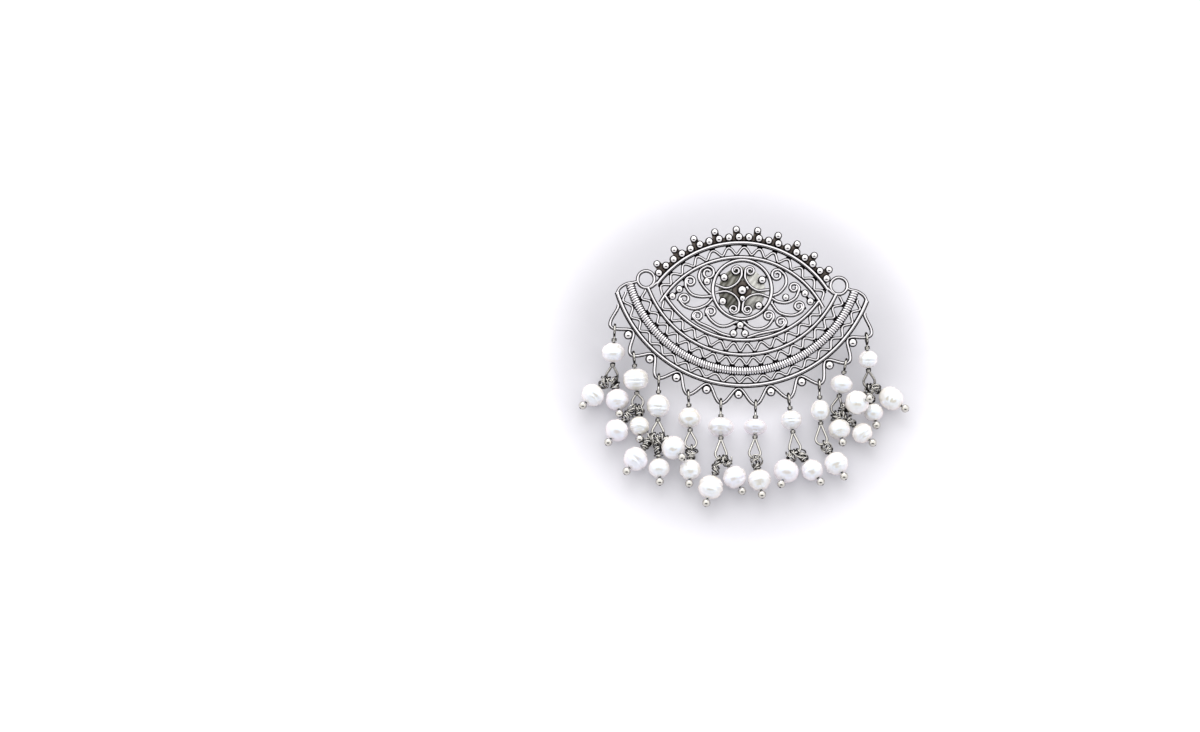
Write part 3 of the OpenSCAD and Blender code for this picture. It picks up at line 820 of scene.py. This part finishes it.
# %% [markdown]
# ## Freshwater pearls
# These are freshwater pearls of the cheaper, lively kind: off-round or button shaped, some with rings round
# the hole's axis, small pits and flats. Nacre is thin layers of a clear mineral with an index near 1.6 over
# a white body. The eye gets a soft white with a silky sharp reflection above it, and a faint rose or green
# from light that interferes in the layers. So the body is nearly white, a clear coat carries the lustre, and
# a thin film gives the overtone. Many layers together reflect more than one surface does, so the index of
# the body is set well above that of a single layer. Each pearl carries its own value that moves it between
# cream, white and rose.

# %% Nacre
def nacre(name):
    material, t = empty_material(name)
    place = add(t, "ShaderNodeTexCoord").outputs["Object"]
    own = add(t, "ShaderNodeAttribute", {"attribute_name": "overtone"}).outputs["Fac"]
    cloud = add(t, "ShaderNodeTexNoise", None, {"Vector": place, "Scale": per(2.2), "Detail": 3.0})
    shift = maths(t, "MULTIPLY_ADD", cloud.outputs["Fac"], 0.5, own)
    body = add(t, "ShaderNodeValToRGB", None, {"Fac": shift})
    stops = body.color_ramp.elements
    stops[0].position, stops[0].color = 0.15, colour("#fff8e8")
    stops[1].position, stops[1].color = 1.0, colour("#fdf6f3")
    middle = stops.new(0.6)
    middle.color = colour("#fefaf2")
    wrinkle = add(t, "ShaderNodeTexNoise", None, {"Vector": place, "Scale": per(0.7), "Detail": 5.0})
    pits = add(t, "ShaderNodeTexVoronoi", {"feature": "SMOOTH_F1"}, {"Vector": place, "Scale": per(0.9)})
    dip = add(t, "ShaderNodeMapRange", None, {"Value": pits.outputs["Distance"], "From Max": 0.25})
    ripple = add(t, "ShaderNodeTexNoise", None, {"Vector": place, "Scale": per(1.5), "Detail": 1.5})
    small = maths(t, "MULTIPLY_ADD", dip.outputs[0], 0.25, wrinkle.outputs["Fac"])
    height = maths(t, "MULTIPLY_ADD", small, 0.2, ripple.outputs["Fac"])
    bump = add(t, "ShaderNodeBump", None, {"Strength": 0.6, "Distance": 0.0003, "Height": height})
    rough = add(t, "ShaderNodeMapRange", None,
                {"Value": wrinkle.outputs["Fac"], "To Min": 0.07, "To Max": 0.17})
    shader = add(t, "ShaderNodeBsdfPrincipled", None,
                 {"Base Color": body.outputs["Color"], "Roughness": rough.outputs[0], "IOR": 2.5,
                  "Specular IOR Level": 1.0, "Normal": bump.outputs[0],
                  "Coat Weight": 1.0, "Coat Roughness": 0.05, "Coat IOR": 1.7,
                  "Thin Film Thickness": 120.0, "Thin Film IOR": 1.45})
    add(t, "ShaderNodeOutputMaterial", None, {"Surface": shader.outputs[0]})
    return material


pearl_nacre = nacre("freshwater_pearl_nacre_drilled")


def pearl(name, node, middle, way, one, two, wide, high, bore, kind):
    """A drilled pearl that stays inside its CAD solid. kind seeds its shape and overtone."""
    own = np.random.default_rng(100 + kind)
    rings, sides = 40, 52
    first = math.asin(2 * bore / wide)
    t = np.linspace(first, math.pi - first, rings)[:, None]
    s = np.linspace(0, 2 * math.pi, sides, endpoint=False)[None]
    dent = np.zeros((rings, sides))
    for _ in range(own.integers(2, 5)):
        at, width = own.uniform(0.6, 2.5), own.uniform(0.06, 0.14)
        bent = at + 0.12 * np.cos(s + own.uniform(0, 6))
        dent += own.uniform(0.02, 0.08) * np.exp(-((t - bent) / width) ** 2)
    for _ in range(5):
        at, turn = own.uniform(0.5, 2.6), own.uniform(0, 2 * math.pi)
        apart = (t - at) ** 2 + (np.sin(t) * (1 - np.cos(s - turn)) * 1.4) ** 2
        dent += own.uniform(0.005, 0.03) * np.exp(-apart / own.uniform(0.1, 0.4))
    lobes = own.uniform(0.004, 0.02) * (1 + np.cos(2 * s + own.uniform(0, 6))) * np.sin(t) ** 2
    less = 1 - np.clip(dent + lobes, 0, 0.09) * np.clip(np.sin(t) * 2.5, 0, 1)
    r = wide / 2 * np.sin(t) * less
    up = np.broadcast_to(high / 2 * np.cos(t), r.shape) * (1 - 0.3 * (1 - less))
    ring = np.cos(s)[..., None] * one + np.sin(s)[..., None] * two
    points = middle + r[..., None] * ring + up[..., None] * way
    walls = middle + bore * ring + np.array([-1, 1])[:, None, None] * up[0, 0] * way
    body = skin(np.vstack([points, walls]), loop=True)
    made = piece(name, [body], pearl_nacre, "pearl",
                 overtone=np.full(len(body[0]), own.uniform(0.05, 0.75)))
    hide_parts(node)


for k in range(1, 11):
    start, down, side, third, _ = strand_frame(k)
    at, wide, high = STRANDS[k - 1][3:]
    pearl(f"link_pearl_{k}_nacre", f"link_pearl_{k}", start + at * down, down, side, third, wide, high,
          LINK_R + SLACK, k)
for i, row in enumerate(DROPS):
    eye, way, y, x, far = drop_frame(row)
    pearl(f"drop_pearl_{i + 1}_nacre", f"drop_pearl_{i + 1}", eye + far * way, way, x, y, row[4], row[5],
          PIN_R + SLACK, 20 + i)

# %% [markdown]
# ## Table, light tent and camera
# Small shiny things are photographed in a light tent: a white cloth all round, with a slot for the camera.
# The metal shows the white as silver and the slot as a dark line along each round wire and a dark spot in
# each grain, and the pearls show it as a grey band. Here the tent is the world: white, with one soft dark
# slot just below the camera and a darker skirt near the table, both at fixed places. The table is matt
# white acrylic with a glow of its own. That glow is painted light: a painted pool of light under the fan, a
# weaker glow round the pearls that paints shade there, and further off it burns out to pure white. The
# camera looks square on to the plate through a long lens, turned by about two degrees as in the photograph.

# %% Table
def acrylic_with_painted_glow(name):
    material, t = empty_material(name)
    place = add(t, "ShaderNodeTexCoord").outputs["Object"]
    fibre = add(t, "ShaderNodeTexNoise", None, {"Vector": place, "Scale": per(3.0), "Detail": 6.0})
    tone = blend(t, fibre.outputs["Fac"], "#b6b5ba", "#bab9be")
    away = add(t, "ShaderNodeVectorMath", {"operation": "DISTANCE"}, {0: place, 1: (-0.001, 0.004, 0.0)})
    # painted light: the table's own glow, a pool under the fan and weaker round the pearls, which paints
    # shade there
    painted_pool_under_fan = eased_to(t, away.outputs["Value"], 0.008, 0.021, 0.5, 0.2)
    far_off = eased_to(t, away.outputs["Value"], 0.026, 0.044, 0.0, 0.46)
    shader = add(t, "ShaderNodeBsdfPrincipled", None,
                 {"Base Color": tone, "Roughness": 0.7, "Specular IOR Level": 0.2,
                  "Emission Color": colour("#f6f4f8"),
                  "Emission Strength": maths(t, "ADD", painted_pool_under_fan, far_off)})
    add(t, "ShaderNodeOutputMaterial", None, {"Surface": shader.outputs[0]})
    return material


HALF = 0.9
mesh = bpy.data.meshes.new("table")
corners = [(-HALF, -HALF, 0), (HALF, -HALF, 0), (HALF, HALF, 0), (-HALF, HALF, 0)]
mesh.from_pydata(corners, [], [(0, 1, 2, 3)])
mesh.materials.append(acrylic_with_painted_glow("white_acrylic_matt_painted_glow"))
table = bpy.data.objects.new("table", mesh)
bpy.context.scene.collection.objects.link(table)

# %% Light tent
SQUARE = unit(FACE)
world = bpy.data.worlds.new("light_tent")
bpy.context.scene.world = world
world.use_nodes = True
t = world.node_tree
t.nodes.clear()
ray = add(t, "ShaderNodeTexCoord").outputs["Generated"]
UP_THE_PLATE = np.array([0, math.cos(TILT), math.sin(TILT)])
BELOW, WIDE, HIGH = math.radians(23), math.sin(math.radians(41)), math.sin(math.radians(18))
slot_aim = unit(SQUARE * math.cos(BELOW) - UP_THE_PLATE * math.sin(BELOW))
slot_up = unit(np.cross(slot_aim, (1, 0, 0)))
across = maths(t, "DIVIDE", dot(t, ray, (1, 0, 0)), WIDE)
upward = maths(t, "DIVIDE", dot(t, ray, slot_up), HIGH)
ellipse = maths(t, "MULTIPLY_ADD", upward, upward, maths(t, "MULTIPLY", across, across))
front = maths(t, "GREATER_THAN", dot(t, ray, slot_aim), 0.0)
dark = maths(t, "MULTIPLY", eased_to(t, ellipse, 0.65, 1.4, 1.0, 0.0), front)
cloth = blend(t, dark, "#ffffff", "#1f1c20")
power = eased_to(t, dot(t, ray, UP_THE_PLATE), -0.8, 0.6, 1.32, 1.46)
height = add(t, "ShaderNodeSeparateXYZ", None, {"Vector": ray}).outputs["Z"]
skirt = eased_to(t, height, 0.06, 0.4, 0.45, 1.0)
glow = add(t, "ShaderNodeBackground", None, {"Color": cloth, "Strength": maths(t, "MULTIPLY", power, skirt)})
add(t, "ShaderNodeOutputWorld", None, {"Surface": glow.outputs[0]})

key = bpy.data.lights.new("soft_key", "AREA")
key.shape, key.size, key.size_y, key.energy = "RECTANGLE", 0.5, 0.25, 1.0
lamp = bpy.data.objects.new("soft_key", key)
bpy.context.scene.collection.objects.link(lamp)
lamp.location = (-0.08, 0.42, 0.42)
lamp.rotation_euler = (Vector((0, 0, 0)) - lamp.location).to_track_quat("-Z", "Y").to_euler()

# %% Camera
# camera's distance in mm, pixels to a mm at the plate, the picture's size, the rosette's middle in it
FAR, SCALE = 595.0, 5.6
PHOTO_W, PHOTO_H = 1200, 732
ROSETTE_X, ROSETTE_Y = 742.0, 290.3
ROLL = math.radians(1.96)
off = np.array([PHOTO_W / 2 - ROSETTE_X, ROSETTE_Y - PHOTO_H / 2]) / SCALE
u = off[0] * math.cos(ROLL) - off[1] * math.sin(ROLL)
v = off[0] * math.sin(ROLL) + off[1] * math.cos(ROLL)
eye = Vector(on_plate([u, v, FAR]) / 1000)
camera = bpy.data.objects.new("camera", bpy.data.cameras.new("camera"))
bpy.context.scene.collection.objects.link(camera)
camera.data.lens = SCALE * 36 * FAR / PHOTO_W
camera.data.clip_start, camera.data.clip_end = 0.01, 20
right = Vector((math.cos(ROLL), 0, 0)) + Vector(UP_THE_PLATE) * math.sin(ROLL)
back = Vector(SQUARE)
up = back.cross(right)
camera.matrix_world = Matrix.Translation(eye) @ Matrix((right, up, back)).transposed().to_4x4()
bpy.context.scene.camera = camera
view = bpy.context.scene.view_settings
view.view_transform, view.look, view.exposure, view.gamma = "Standard", "None", 0.0, 1.0
print("lens", round(camera.data.lens, 2), "camera at", [round(x, 4) for x in eye])
